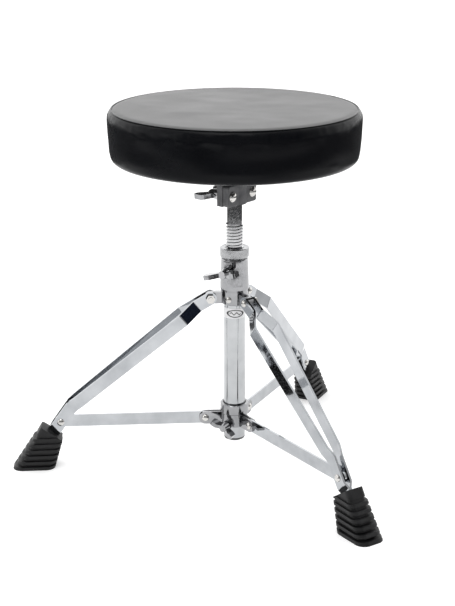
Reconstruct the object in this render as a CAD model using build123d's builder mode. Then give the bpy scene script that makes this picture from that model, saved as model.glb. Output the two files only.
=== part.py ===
from build123d import *
import os
from math import asin, cos, radians, sin

os.makedirs("parts", exist_ok=True)

# A folding drum throne: a round padded seat clamped on a screw-threaded rod, a chromed tube with a cast
# sleeve, and three legs of twin flat bars that fold inwards as the lower hub slides up the tube.
# Millimetres. Pieces are made with the tube's axis on the Z axis and the floor at z = 0. SHIFT then
# moves everything so that the origin is the middle of the whole throne's footprint.

# ---- driving dimensions ----
SHIFT = 65.0
LEGS = {"left": 180, "front": 300, "rear": 60}
LOCK_AZIMUTH = 240
CLAMP_AZIMUTH = 316.5
RUNNING = 0.05

SEAT_TOP = 458.0
SEAT_BOTTOM = 395.2
SEAT_RADIUS = 152.4
SEAT_PANEL_RADIUS = 144.0
SEAT_SHOULDER = 11.0
SEAT_FOOT_RADIUS = 149.0
SEAT_CORNER = 9.0
COVER_THICKNESS = 1.2
COVER_TURN_IN = 118.0
BOARD_THICKNESS = 12.0
DUST_COVER_THICKNESS = 0.6
DUST_COVER_RADIUS = 123.0
STAPLE_COUNT = 24

TUBE_RADIUS = 13.5
TUBE_WALL = 1.5
TUBE_TOP = 262.0
TUBE_BOTTOM = 35.0
LABEL_BOTTOM = 196.0
LABEL_TOP = 209.0
LABEL_THICKNESS = 0.25

SLEEVE_BOTTOM = 213.5
SLEEVE_TOP = 271.4
SLEEVE_TOP_RADIUS = 16.8
SLEEVE_WIDE_RADIUS = 17.95
SLEEVE_WIDE_Z = 238.0
SLEEVE_FOOT_RADIUS = 16.9

NUT_BOTTOM = 272.7
NUT_TOP = 285.4
NUT_RADIUS = 18.0
NUT_BORE = 11.0

ROD_TOP = 388.0
ROD_RADIUS = 9.2
THREAD_RADIUS = 10.7
THREAD_ROOT = 8.9
THREAD_PITCH = 4.0
THREAD_TOP = 318.0
ROD_BOTTOM = 170.0

PIVOT_R = 30.3
PIVOT_Z = 220.8
RIVET_R = 221.0
BRACE_Z = 60.3
HUB_PIVOT_R = 37.2

BAR_WIDTH = 15.8
BAR_THICKNESS = 2.5
FIN_HALF = 4.15
BAR_GAP_TOP = 4.4
BAR_GAP_RIVET = 3.75
BRACE_WIDTH = 15.5
BRACE_THICKNESS = 2.5
RIVET_RADIUS = 3.0
HEAD_RADIUS = 4.6
HEAD_HEIGHT = 2.9

HUB_BOTTOM = 51.0
HUB_STEP = 68.4
HUB_TOP = 80.5
HUB_RADIUS = 18.0
HUB_SKIRT_RADIUS = 16.8
HUB_BORE = 14.8
EAR_GAP = 1.45
EAR_THICKNESS = 2.2
EAR_RADIUS = 8.2

LOCK_RADIUS = 4.0
PAD_RADIUS = 3.8
SLEEVE_LOCK_Z = 258.0
HUB_LOCK_Z = 55.5

CLAMP_BOTTOM = 341.0
CLAMP_TOP = 366.6
CLAMP_BOLT_Y = 19.0
CLAMP_BOLT_Z = 353.4
CLAMP_EAR_HALF = 27.0
CAP_FACE = 12.6
CAP_BACK = 4.1
REAR_FRONT = 3.1
REAR_FACE = -5.4
BARREL_RADIUS = 14.6
NECK_RADIUS = 17.0
FLANGE_THICKNESS = 6.0
FLANGE_RADIUS = 44.0
SCREW_CIRCLE = 34.0
SCREW_RADIUS = 2.9

# ---- derived places ----
DUST_COVER_Z = SEAT_BOTTOM - DUST_COVER_THICKNESS
FLANGE_BOTTOM = DUST_COVER_Z - FLANGE_THICKNESS
BOARD_TOP = SEAT_BOTTOM + COVER_THICKNESS + BOARD_THICKNESS
TUBE_BORE = TUBE_RADIUS - TUBE_WALL
SHIFT_PLANE = Location((SHIFT, 0, 0))


def keep(part, label):
    """Name a finished piece, move it to the shared frame and write it."""
    moved = SHIFT_PLANE * part
    moved.label = label
    export_step(moved, f"parts/{label}.step")


def outward(radius, z, side=0):
    """A plane facing outwards at azimuth 0, this far from the tube's axis."""
    return Plane(origin=(radius, side, z), x_dir=(0, 1, 0), z_dir=(1, 0, 0))


def across(r, z, offset=0):
    """A plane facing -Y through the point (r, z) of the azimuth 0 leg, offset towards -Y."""
    return Plane(origin=(r, -offset, z), x_dir=(1, 0, 0), z_dir=(0, -1, 0))


def turned_solid(points):
    """A solid of revolution about Z from the corners of its half section."""
    with BuildPart() as shape:
        with BuildSketch(Plane.XZ):
            with BuildLine():
                Polyline(*points, close=True)
            make_face()
        revolve(axis=Axis.Z)
    return shape.part


def dome(radius, height, shank=0, shank_radius=RIVET_RADIUS):
    """A round head standing on z = 0, with a plain shank below it."""
    rim = 0.2 * height
    ball = (radius ** 2 + (height - rim) ** 2) / (2 * (height - rim))
    half_angle = asin(radius / ball) / 2
    middle = (ball * sin(half_angle), height - ball + ball * cos(half_angle))
    with BuildPart() as shape:
        with BuildSketch(Plane.XZ):
            with BuildLine():
                Line((0, 0), (radius, 0))
                Line((radius, 0), (radius, rim))
                ThreePointArc((radius, rim), middle, (0, height))
                Line((0, height), (0, 0))
            make_face()
        revolve(axis=Axis.Z)
        if shank:
            with BuildSketch(Plane.XY):
                Circle(shank_radius)
            extrude(amount=-shank)
    return shape.part


def washer(bore, rim, thickness):
    """A flat ring standing on z = 0."""
    with BuildPart() as shape:
        with BuildSketch(Plane.XY):
            Circle(rim)
            Circle(bore, mode=Mode.SUBTRACT)
        extrude(amount=thickness)
    return shape.part


def placed(part, *planes):
    """Copies of a piece standing on each of these planes."""
    with BuildPart() as group:
        with Locations(*[plane.location for plane in planes]):
            add(part)
    return group.part


# ---- seat ----
def seat_body(inset):
    """The round seat, shrunk all over by inset."""
    top = SEAT_TOP - inset
    bottom = SEAT_BOTTOM + inset
    shoulder = SEAT_TOP - SEAT_SHOULDER
    wide = SEAT_RADIUS - inset
    foot = SEAT_FOOT_RADIUS - inset
    corner = SEAT_CORNER - inset
    with BuildPart() as body:
        with BuildSketch(Plane.XZ):
            with BuildLine():
                Polyline((0, bottom), (0, top), (SEAT_PANEL_RADIUS, top))
                ThreePointArc((SEAT_PANEL_RADIUS, top),
                              (wide - 0.3 * (wide - SEAT_PANEL_RADIUS), top - 0.3 * (top - shoulder)),
                              (wide, shoulder))
                Line((wide, shoulder), (foot, bottom + corner))
                ThreePointArc((foot, bottom + corner), (foot - 0.3 * corner, bottom + 0.3 * corner),
                              (foot - corner, bottom))
                Line((foot - corner, bottom), (0, bottom))
            make_face()
        revolve(axis=Axis.Z)
    return body.part


PIPING_R = 147.7
PIPING_Z = 456.0
PIPING_RADIUS = 1.1
SCREW_SPOTS = PolarLocations(SCREW_CIRCLE, 4, start_angle=CLAMP_AZIMUTH + 45)
STAPLE_CROWN = 10.0
STAPLE_WIRE = 0.8
STAPLE_LEG = 6.0
T_NUT_BARREL = 4.0
T_NUT_FLANGE = 8.0
T_NUT_FLANGE_THICKNESS = 1.2
T_NUT_LENGTH = 8.5

with BuildPart() as piping:
    with BuildSketch(Plane.XZ):
        with Locations((PIPING_R, PIPING_Z)):
            Circle(PIPING_RADIUS)
    revolve(axis=Axis.Z)
keep(piping.part, "seat_piping")

with BuildPart() as staples:
    with BuildSketch(Plane.XY.offset(DUST_COVER_Z - STAPLE_WIRE)):
        with PolarLocations(DUST_COVER_RADIUS - 2.0, STAPLE_COUNT):
            Rectangle(STAPLE_WIRE, STAPLE_CROWN)
    extrude(amount=STAPLE_WIRE)
    with BuildSketch(Plane.XY.offset(DUST_COVER_Z)):
        with PolarLocations(DUST_COVER_RADIUS - 2.0, STAPLE_COUNT):
            with GridLocations(0, STAPLE_CROWN - STAPLE_WIRE, 1, 2):
                Rectangle(STAPLE_WIRE, STAPLE_WIRE)
    extrude(amount=STAPLE_LEG)
keep(staples.part, "cover_staples")

with BuildPart() as seat_cover:
    add(seat_body(0))
    add(seat_body(COVER_THICKNESS), mode=Mode.SUBTRACT)
    add(piping.part, mode=Mode.SUBTRACT)
    with BuildSketch(Plane.XY.offset(SEAT_BOTTOM)):
        Circle(COVER_TURN_IN)
    extrude(amount=COVER_THICKNESS, mode=Mode.SUBTRACT)
    add(staples.part, mode=Mode.SUBTRACT)
cover_panels = seat_cover.part.solids().sort_by(Axis.Z)
keep(Part(cover_panels[0].wrapped), "seat_side_band")
keep(Part(cover_panels[-1].wrapped), "seat_top_panel")

with BuildPart() as t_nuts:
    with BuildSketch(Plane.XY.offset(BOARD_TOP)):
        with SCREW_SPOTS:
            Circle(T_NUT_FLANGE)
    extrude(amount=-T_NUT_FLANGE_THICKNESS)
    with BuildSketch(Plane.XY.offset(BOARD_TOP)):
        with SCREW_SPOTS:
            Circle(T_NUT_BARREL)
    extrude(amount=-T_NUT_LENGTH)
    with BuildSketch(Plane.XY.offset(BOARD_TOP)):
        with SCREW_SPOTS:
            Circle(SCREW_RADIUS + RUNNING)
    extrude(amount=-T_NUT_LENGTH, mode=Mode.SUBTRACT)
keep(t_nuts.part, "board_t_nuts")

with BuildPart() as seat_board:
    add(seat_body(COVER_THICKNESS))
    split(bisect_by=Plane.XY.offset(BOARD_TOP), keep=Keep.BOTTOM)
    with BuildSketch(Plane.XY.offset(BOARD_TOP)):
        with SCREW_SPOTS:
            Circle(T_NUT_FLANGE)
    extrude(amount=-T_NUT_FLANGE_THICKNESS, mode=Mode.SUBTRACT)
    with BuildSketch(Plane.XY.offset(BOARD_TOP)):
        with SCREW_SPOTS:
            Circle(T_NUT_BARREL)
    extrude(amount=-BOARD_THICKNESS, mode=Mode.SUBTRACT)
    add(staples.part, mode=Mode.SUBTRACT)
keep(seat_board.part, "seat_board")

with BuildPart() as seat_foam:
    add(seat_body(COVER_THICKNESS))
    add(piping.part, mode=Mode.SUBTRACT)
    split(bisect_by=Plane.XY.offset(BOARD_TOP), keep=Keep.TOP)
keep(seat_foam.part, "seat_foam")

with BuildPart() as dust_cover:
    with BuildSketch(Plane.XY.offset(DUST_COVER_Z)):
        Circle(DUST_COVER_RADIUS)
    extrude(amount=DUST_COVER_THICKNESS)
    with BuildSketch(Plane.XY.offset(SEAT_BOTTOM)):
        Circle(COVER_TURN_IN)
    extrude(amount=COVER_THICKNESS)
    with BuildSketch(Plane.XY.offset(DUST_COVER_Z)):
        with SCREW_SPOTS:
            Circle(SCREW_RADIUS + 0.1)
    extrude(amount=DUST_COVER_THICKNESS + COVER_THICKNESS, mode=Mode.SUBTRACT)
    add(staples.part, mode=Mode.SUBTRACT)
keep(dust_cover.part, "dust_cover")

WASHER_THICKNESS = 1.2
SCREW_HEAD_HEIGHT = 3.4
with BuildPart() as bracket_washers:
    with BuildSketch(Plane.XY.offset(FLANGE_BOTTOM)):
        with SCREW_SPOTS:
            Circle(6.2)
    extrude(amount=-WASHER_THICKNESS)
    with BuildSketch(Plane.XY.offset(FLANGE_BOTTOM)):
        with SCREW_SPOTS:
            Circle(SCREW_RADIUS + RUNNING)
    extrude(amount=-WASHER_THICKNESS, mode=Mode.SUBTRACT)
keep(bracket_washers.part, "bracket_washers")

with BuildPart() as bracket_screws:
    with BuildSketch(Plane.XY.offset(FLANGE_BOTTOM - WASHER_THICKNESS - SCREW_HEAD_HEIGHT)):
        with SCREW_SPOTS:
            Circle(5.0)
    extrude(amount=SCREW_HEAD_HEIGHT)
    chamfer(bracket_screws.edges().group_by(Axis.Z)[0], length=1.2)
    with BuildSketch(Plane.XY.offset(FLANGE_BOTTOM - WASHER_THICKNESS - SCREW_HEAD_HEIGHT)):
        with SCREW_SPOTS:
            RegularPolygon(2.3, 6)
    extrude(amount=1.8, mode=Mode.SUBTRACT)
    with BuildSketch(Plane.XY.offset(FLANGE_BOTTOM - WASHER_THICKNESS)):
        with SCREW_SPOTS:
            Circle(SCREW_RADIUS)
    extrude(amount=BOARD_TOP - FLANGE_BOTTOM)
keep(bracket_screws.part, "bracket_screws")

# ---- seat clamp: made with its cap facing +X, then swung to its azimuth ----
BOLT_HOLE = 4.0
SPOT_FACE = 8.2
GUSSET_THICKNESS = 5.0
ARCH_STEP = 1.2


def swung(part, azimuth):
    """A piece swung round the tube's axis."""
    return part.rotate(Axis.Z, azimuth)


def bolt_holes(start, length):
    """Both clamp bolt holes as solids, from one distance in front of the axis."""
    with BuildPart() as holes:
        with BuildSketch(outward(start, CLAMP_BOLT_Z)):
            with GridLocations(2 * CLAMP_BOLT_Y, 0, 2, 1):
                Circle(BOLT_HOLE)
        extrude(amount=length)
    return holes.part


def slice_box(back, front, bottom, top):
    """A wide block used to part the clamp across the rod."""
    with BuildPart() as block:
        with BuildSketch(Plane.XY.offset(bottom)):
            with Locations(((back + front) / 2, 0)):
                Rectangle(front - back, 200)
        extrude(amount=top - bottom)
    return block.part


with BuildPart() as bracket:
    with BuildSketch(Plane.XY.offset(CLAMP_BOTTOM)):
        Circle(BARREL_RADIUS)
        with Locations(((REAR_FRONT + REAR_FACE) / 2, 0)):
            Rectangle(REAR_FRONT - REAR_FACE, 2 * CLAMP_EAR_HALF)
    extrude(amount=CLAMP_TOP - CLAMP_BOTTOM)
    add(slice_box(REAR_FRONT, 60, CLAMP_BOTTOM, CLAMP_TOP), mode=Mode.SUBTRACT)
    with BuildSketch(Plane.XY.offset(CLAMP_TOP)):
        Circle(NECK_RADIUS)
    extrude(amount=FLANGE_BOTTOM - CLAMP_TOP)
    add(slice_box(REAR_FRONT, 60, CLAMP_TOP, CLAMP_TOP + ARCH_STEP), mode=Mode.SUBTRACT)
    for side in (0, 90, 180, 270):
        along = (cos(radians(side)), sin(radians(side)), 0)
        normal = (sin(radians(side)), -cos(radians(side)), 0)
        with BuildSketch(Plane(origin=(0, 0, 0), x_dir=along, z_dir=normal)):
            with BuildLine():
                Polyline((12, CLAMP_TOP + 5), (NECK_RADIUS, CLAMP_TOP + 5), (FLANGE_RADIUS - 6, FLANGE_BOTTOM),
                         (12, FLANGE_BOTTOM), close=True)
            make_face()
        extrude(amount=GUSSET_THICKNESS / 2, both=True)
    with BuildSketch(Plane.XY.offset(FLANGE_BOTTOM)):
        Circle(FLANGE_RADIUS)
    extrude(amount=FLANGE_THICKNESS)
    with BuildSketch(Plane.XY.offset(CLAMP_BOTTOM)):
        Circle(ROD_RADIUS + RUNNING)
    extrude(amount=ROD_TOP - CLAMP_BOTTOM, mode=Mode.SUBTRACT)
    add(bolt_holes(REAR_FACE, REAR_FRONT - REAR_FACE), mode=Mode.SUBTRACT)
    with BuildSketch(outward(REAR_FACE, CLAMP_BOLT_Z)):
        with GridLocations(2 * CLAMP_BOLT_Y, 0, 2, 1):
            Circle(SPOT_FACE)
    extrude(amount=-12, mode=Mode.SUBTRACT)
    with BuildSketch(Plane.XY.offset(FLANGE_BOTTOM)):
        with PolarLocations(SCREW_CIRCLE, 4, start_angle=45):
            Circle(SCREW_RADIUS + 0.1)
    extrude(amount=FLANGE_THICKNESS, mode=Mode.SUBTRACT)
keep(swung(bracket.part, CLAMP_AZIMUTH), "seat_bracket")

with BuildPart() as cap:
    with BuildSketch(Plane.XY.offset(CLAMP_BOTTOM)):
        with Locations(((CAP_FACE + CAP_BACK) / 2, 0)):
            Rectangle(CAP_FACE - CAP_BACK, 2 * CLAMP_EAR_HALF)
    extrude(amount=CLAMP_TOP - CLAMP_BOTTOM)
    fillet(cap.edges().filter_by(Axis.X), radius=3.0)
    chamfer(cap.faces().sort_by(Axis.X)[-1].edges(), length=0.8)
    with BuildSketch(Plane.XY.offset(CLAMP_BOTTOM)):
        Circle(BARREL_RADIUS)
    extrude(amount=CLAMP_TOP - CLAMP_BOTTOM)
    add(slice_box(-60, CAP_BACK, CLAMP_BOTTOM, CLAMP_TOP), mode=Mode.SUBTRACT)
    with BuildSketch(Plane.XY.offset(CLAMP_BOTTOM)):
        Circle(ROD_RADIUS + RUNNING)
    extrude(amount=CLAMP_TOP - CLAMP_BOTTOM, mode=Mode.SUBTRACT)
    add(bolt_holes(CAP_BACK, CAP_FACE - CAP_BACK), mode=Mode.SUBTRACT)
keep(swung(cap.part, CLAMP_AZIMUTH), "clamp_cap")

CLAMP_SHANK = 3.9
CLAMP_TAIL = 23.0
CLAMP_WASHER = 1.4
HEX_NUT_HEIGHT = 6.4
clamp_bolt = dome(6.4, 3.8, shank=CAP_FACE + CLAMP_TAIL, shank_radius=CLAMP_SHANK)
bolt_planes = [outward(CAP_FACE, CLAMP_BOLT_Z, side * CLAMP_BOLT_Y) for side in (1, -1)]
keep(swung(placed(clamp_bolt, *bolt_planes), CLAMP_AZIMUTH), "clamp_bolts")

back_planes = {}
for name, side in (("hex", 1), ("wing", -1)):
    back_planes[name] = Plane(origin=(REAR_FACE, side * CLAMP_BOLT_Y, CLAMP_BOLT_Z), x_dir=(0, 1, 0),
                              z_dir=(-1, 0, 0))
clamp_washer = washer(CLAMP_SHANK + RUNNING, 7.6, CLAMP_WASHER)
for name, plane in back_planes.items():
    keep(swung(placed(clamp_washer, plane), CLAMP_AZIMUTH), f"clamp_{name}_washer")

with BuildPart() as hex_nut:
    with BuildSketch(back_planes["hex"].offset(CLAMP_WASHER)):
        RegularPolygon(6.5, 6, major_radius=False)
        Circle(CLAMP_SHANK + RUNNING, mode=Mode.SUBTRACT)
    extrude(amount=HEX_NUT_HEIGHT)
keep(swung(hex_nut.part, CLAMP_AZIMUTH), "clamp_hex_nut")


def wing_head(collar, height, span, flare, depth, root=1, half=1.9):
    """A cast wing head standing on z = 0; its wings leave the collar at root and spread along X."""
    with BuildPart() as head:
        with BuildSketch(Plane.XY):
            Circle(collar)
        with BuildSketch(Plane.XY.offset(height)):
            Circle(0.72 * collar)
        loft()
        for side in (1, -1):
            with BuildSketch(Plane.XZ):
                with BuildLine():
                    Polyline((0, root), (side * 0.9 * collar, root), (side * (span - 3), flare - 1),
                             (side * span, flare + 1.5), (side * (span - 0.5), flare + depth - 1.5),
                             (side * (span - 2.5), flare + depth), (side * (span - 8), flare + depth - 1),
                             (side * 0.6 * collar, height), (0, height), close=True)
                make_face()
            extrude(amount=half, both=True)
        tips = head.edges().filter_by(Axis.Y).filter_by(lambda e: abs(e.center().X) > span - 4)
        fillet(tips, radius=1.4)
    return head.part


CLAMP_WING_HEIGHT = 14.0
CLAMP_WING_ROLL = -4
with BuildPart() as clamp_wing:
    add(wing_head(7.4, CLAMP_WING_HEIGHT, 22.0, 11.0, 13.5, root=5, half=3.0))
    with BuildSketch(Plane.XY):
        Circle(CLAMP_SHANK + RUNNING)
    extrude(amount=CLAMP_WING_HEIGHT, mode=Mode.SUBTRACT)
rolled_wing = clamp_wing.part.rotate(Axis.Z, CLAMP_WING_ROLL)
keep(swung(placed(rolled_wing, back_planes["wing"].offset(CLAMP_WASHER)), CLAMP_AZIMUTH), "clamp_wing_nut")

# ---- threaded rod and the bush that guides its lower end ----
BUSH_HEIGHT = 14.0
THREAD_RUN_OUT = 3.0
with BuildPart() as rod:
    with BuildSketch(Plane.XY.offset(ROD_BOTTOM)):
        Circle(THREAD_ROOT)
    extrude(amount=THREAD_TOP - ROD_BOTTOM)
    with BuildLine():
        turns = Helix(pitch=THREAD_PITCH, height=THREAD_TOP - ROD_BOTTOM - 2 * THREAD_RUN_OUT,
                      radius=THREAD_ROOT - 0.2, center=(0, 0, ROD_BOTTOM + THREAD_RUN_OUT))
    with BuildSketch(Plane(origin=turns @ 0, x_dir=(1, 0, 0), z_dir=turns % 0)):
        with BuildLine():
            Polyline((0, -1.5), (THREAD_RADIUS - THREAD_ROOT + 0.2, -0.7),
                     (THREAD_RADIUS - THREAD_ROOT + 0.2, 0.7), (0, 1.5), close=True)
        make_face()
    sweep(path=turns, is_frenet=True)
    with BuildSketch(Plane.XY.offset(THREAD_TOP)):
        Circle(ROD_RADIUS)
    extrude(amount=ROD_TOP - THREAD_TOP)
    chamfer(rod.edges().group_by(Axis.Z)[-1], length=1.0)
keep(rod.part, "threaded_rod")

bush_rim = TUBE_BORE - RUNNING
bush_bottom = ROD_BOTTOM - BUSH_HEIGHT
keep(turned_solid([(5, bush_bottom), (bush_rim - 1, bush_bottom), (bush_rim, bush_bottom + 1),
                   (bush_rim, ROD_BOTTOM), (5, ROD_BOTTOM)]), "rod_guide_bush")

# ---- collar nut, tube, label, end plug ----
keep(turned_solid([(NUT_BORE, TUBE_TOP), (TUBE_RADIUS - 0.05, TUBE_TOP), (TUBE_RADIUS - 0.05, NUT_BOTTOM),
                   (NUT_RADIUS - 1.6, NUT_BOTTOM), (NUT_RADIUS, NUT_BOTTOM + 1.6), (NUT_RADIUS, NUT_TOP - 0.7),
                   (NUT_RADIUS - 0.7, NUT_TOP), (NUT_RADIUS - 2.2, NUT_TOP), (NUT_RADIUS - 2.5, NUT_TOP - 0.4),
                   (NUT_BORE + 1.2, NUT_TOP - 0.4), (NUT_BORE, NUT_TOP - 1.4)]), "collar_nut")

SLEEVE_RIVET_Z = 221.0
SLEEVE_RIVET_RADIUS = 2.2
with BuildPart() as tube:
    with BuildSketch(Plane.XY.offset(TUBE_BOTTOM)):
        Circle(TUBE_RADIUS)
        Circle(TUBE_BORE, mode=Mode.SUBTRACT)
    extrude(amount=TUBE_TOP - TUBE_BOTTOM)
    with BuildSketch(outward(0, SLEEVE_LOCK_Z)):
        Circle(LOCK_RADIUS + RUNNING)
    extrude(amount=TUBE_RADIUS + 1, mode=Mode.SUBTRACT)
    with BuildSketch(outward(0, SLEEVE_RIVET_Z)):
        Circle(SLEEVE_RIVET_RADIUS)
    extrude(amount=TUBE_RADIUS + 1, mode=Mode.SUBTRACT)
keep(swung(tube.part, LOCK_AZIMUTH), "base_tube")

label_rim = TUBE_RADIUS + LABEL_THICKNESS
keep(turned_solid([(TUBE_RADIUS, LABEL_BOTTOM), (label_rim, LABEL_BOTTOM), (label_rim, LABEL_TOP),
                   (TUBE_RADIUS, LABEL_TOP)]), "tube_label")

PLUG_BOTTOM = 31.0
plug_rim = TUBE_BORE - 0.02
keep(turned_solid([(0, PLUG_BOTTOM), (TUBE_RADIUS - 3, PLUG_BOTTOM), (TUBE_RADIUS - 0.9, PLUG_BOTTOM + 1.2),
                   (TUBE_RADIUS, TUBE_BOTTOM - 0.8), (TUBE_RADIUS, TUBE_BOTTOM), (plug_rim, TUBE_BOTTOM),
                   (plug_rim, TUBE_BOTTOM + 14), (plug_rim - 2, TUBE_BOTTOM + 14),
                   (plug_rim - 2, TUBE_BOTTOM), (0, TUBE_BOTTOM)]), "tube_end_plug")

# ---- cast sleeve that carries the legs ----
FIN_RADIUS = 7.3
FIN_HOLE = 3.2
BOSS_RADIUS = 6.75
BOSS_FACE = 24.0
SLIT_WIDTH = 1.1
TAB_SLOT_Z = 268.8
TAB_FOOT_Z = 254.5
TAB_EDGE = 5.4
TAB_REACH = 7.5
with BuildPart() as sleeve:
    add(turned_solid([(TUBE_RADIUS, SLEEVE_BOTTOM), (SLEEVE_FOOT_RADIUS - 0.8, SLEEVE_BOTTOM),
                      (SLEEVE_FOOT_RADIUS, SLEEVE_BOTTOM + 0.8), (SLEEVE_FOOT_RADIUS, SLEEVE_WIDE_Z - 8),
                      (SLEEVE_WIDE_RADIUS, SLEEVE_WIDE_Z - 5), (SLEEVE_WIDE_RADIUS, SLEEVE_WIDE_Z),
                      (SLEEVE_TOP_RADIUS, SLEEVE_TOP - 0.8), (SLEEVE_TOP_RADIUS - 0.8, SLEEVE_TOP),
                      (TUBE_RADIUS, SLEEVE_TOP)]))
    for azimuth in LEGS.values():
        with BuildSketch(across(0, PIVOT_Z)):
            with Locations((PIVOT_R / 2 + 7, 0)):
                Rectangle(PIVOT_R - 14, 2 * FIN_RADIUS)
            with Locations((PIVOT_R, 0)):
                Circle(FIN_RADIUS)
                Circle(FIN_HOLE, mode=Mode.SUBTRACT)
        fin = extrude(amount=FIN_HALF, both=True, mode=Mode.PRIVATE)
        add(fin.rotate(Axis.Z, azimuth))
    with BuildSketch(outward(14, SLEEVE_LOCK_Z)):
        Circle(BOSS_RADIUS)
    boss = extrude(amount=BOSS_FACE - 14, mode=Mode.PRIVATE)
    add(boss.rotate(Axis.Z, LOCK_AZIMUTH))
    with BuildSketch(outward(0, SLEEVE_LOCK_Z)):
        Circle(LOCK_RADIUS + RUNNING)
    lock_hole = extrude(amount=BOSS_FACE + 1, mode=Mode.PRIVATE)
    add(lock_hole.rotate(Axis.Z, LOCK_AZIMUTH), mode=Mode.SUBTRACT)
    with BuildSketch(outward(0, SLEEVE_RIVET_Z)):
        Circle(SLEEVE_RIVET_RADIUS)
    rivet_hole = extrude(amount=BOSS_FACE, mode=Mode.PRIVATE)
    add(rivet_hole.rotate(Axis.Z, LOCK_AZIMUTH), mode=Mode.SUBTRACT)
    with BuildSketch(Plane.XY.offset(TAB_SLOT_Z)):
        with Locations((TUBE_RADIUS + 6, (TAB_EDGE - TAB_REACH) / 2)):
            Rectangle(14, TAB_EDGE + TAB_REACH)
    tab_slot = extrude(amount=SLIT_WIDTH, mode=Mode.PRIVATE)
    add(tab_slot.rotate(Axis.Z, LOCK_AZIMUTH), mode=Mode.SUBTRACT)
    with BuildSketch(Plane.XY.offset(TAB_FOOT_Z)):
        with Locations((TUBE_RADIUS + 6, TAB_EDGE - SLIT_WIDTH / 2)):
            Rectangle(14, SLIT_WIDTH)
    tab_slit = extrude(amount=TAB_SLOT_Z - TAB_FOOT_Z + SLIT_WIDTH, mode=Mode.PRIVATE)
    add(tab_slit.rotate(Axis.Z, LOCK_AZIMUTH), mode=Mode.SUBTRACT)
    with BuildSketch(Plane.XY.offset(SLEEVE_BOTTOM)):
        Circle(TUBE_RADIUS)
    extrude(amount=SLEEVE_TOP - SLEEVE_BOTTOM, mode=Mode.SUBTRACT)
keep(sleeve.part, "top_sleeve")

sleeve_rivet = dome(3.9, 1.7, shank=4.4, shank_radius=SLEEVE_RIVET_RADIUS)
keep(swung(placed(sleeve_rivet, outward(SLEEVE_FOOT_RADIUS, SLEEVE_RIVET_Z)), LOCK_AZIMUTH), "sleeve_rivet")


# ---- wing bolts that lock the rod and the hub, each with a nylon pad at its tip ----
def lock_set(prefix, inner, gap, head_r, z, head, roll):
    """A pad from inner, then a bolt whose head stands head_r from the tube's axis."""
    with BuildPart() as pad:
        with BuildSketch(outward(inner, z)):
            Circle(PAD_RADIUS)
        extrude(amount=gap - 0.05)
    keep(swung(pad.part, LOCK_AZIMUTH), f"{prefix}_pad")
    with BuildPart() as bolt:
        with Locations(outward(head_r, z).location * Location((0, 0, 0), (0, 0, roll))):
            add(head)
        with BuildSketch(outward(inner + gap, z)):
            Circle(LOCK_RADIUS)
        extrude(amount=head_r - inner - gap + 4)
    keep(swung(bolt.part, LOCK_AZIMUTH), f"{prefix}_wing_bolt")


sleeve_wing = wing_head(6.6, 10.0, 22.3, 5.0, 14.0, half=2.9)
hub_wing = wing_head(6.0, 9.0, 16.8, 3.5, 11.5, half=2.5)
lock_set("sleeve", THREAD_RADIUS + RUNNING, 4.5, 26.0, SLEEVE_LOCK_Z, sleeve_wing, 11)
lock_set("hub", TUBE_RADIUS + RUNNING, 2.4, 25.5, HUB_LOCK_Z, hub_wing, -30)

# ---- lower hub ----
HUB_BOSS_RADIUS = 6.0
HUB_BOSS_FACE = 22.5
with BuildPart() as hub:
    add(turned_solid([(HUB_BORE, HUB_BOTTOM), (HUB_SKIRT_RADIUS, HUB_BOTTOM), (HUB_SKIRT_RADIUS, HUB_STEP - 1),
                      (HUB_RADIUS, HUB_STEP), (HUB_RADIUS, HUB_TOP - 0.8), (HUB_RADIUS - 0.8, HUB_TOP),
                      (HUB_BORE, HUB_TOP)]))
    with BuildSketch(across(0, BRACE_Z)):
        with Locations((HUB_PIVOT_R / 2 + 8, 0)):
            Rectangle(HUB_PIVOT_R - 16, 2 * EAR_RADIUS)
        with Locations((HUB_PIVOT_R, 0)):
            Circle(EAR_RADIUS)
            Circle(RIVET_RADIUS, mode=Mode.SUBTRACT)
    ears = extrude(amount=EAR_GAP + EAR_THICKNESS, both=True, mode=Mode.PRIVATE)
    for azimuth in LEGS.values():
        add(ears.rotate(Axis.Z, azimuth))
    with BuildSketch(across(0, BRACE_Z)):
        with Locations((HUB_SKIRT_RADIUS + 30, 0)):
            Rectangle(60, 3 * EAR_RADIUS)
    slot = extrude(amount=EAR_GAP, both=True, mode=Mode.PRIVATE)
    for azimuth in LEGS.values():
        add(slot.rotate(Axis.Z, azimuth), mode=Mode.SUBTRACT)
    with BuildSketch(outward(HUB_BORE, HUB_LOCK_Z)):
        Circle(HUB_BOSS_RADIUS)
    hub_boss = extrude(amount=HUB_BOSS_FACE - HUB_BORE, mode=Mode.PRIVATE)
    add(hub_boss.rotate(Axis.Z, LOCK_AZIMUTH))
    with BuildSketch(Plane.XY.offset(HUB_BOTTOM - 10)):
        Circle(HUB_BORE)
    extrude(amount=HUB_TOP - HUB_BOTTOM + 10, mode=Mode.SUBTRACT)
    with BuildSketch(outward(0, HUB_LOCK_Z)):
        Circle(LOCK_RADIUS + RUNNING)
    hub_lock_hole = extrude(amount=HUB_BOSS_FACE + 1, mode=Mode.PRIVATE)
    add(hub_lock_hole.rotate(Axis.Z, LOCK_AZIMUTH), mode=Mode.SUBTRACT)
keep(hub.part, "hub_bracket")

with BuildPart() as liner:
    with BuildSketch(Plane.XY.offset(HUB_BOTTOM + 0.6)):
        Circle(HUB_BORE)
        Circle(TUBE_RADIUS + RUNNING, mode=Mode.SUBTRACT)
    extrude(amount=HUB_TOP - HUB_BOTTOM - 1.2)
    add(hub_lock_hole.rotate(Axis.Z, LOCK_AZIMUTH), mode=Mode.SUBTRACT)
keep(liner.part, "hub_liner")


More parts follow.
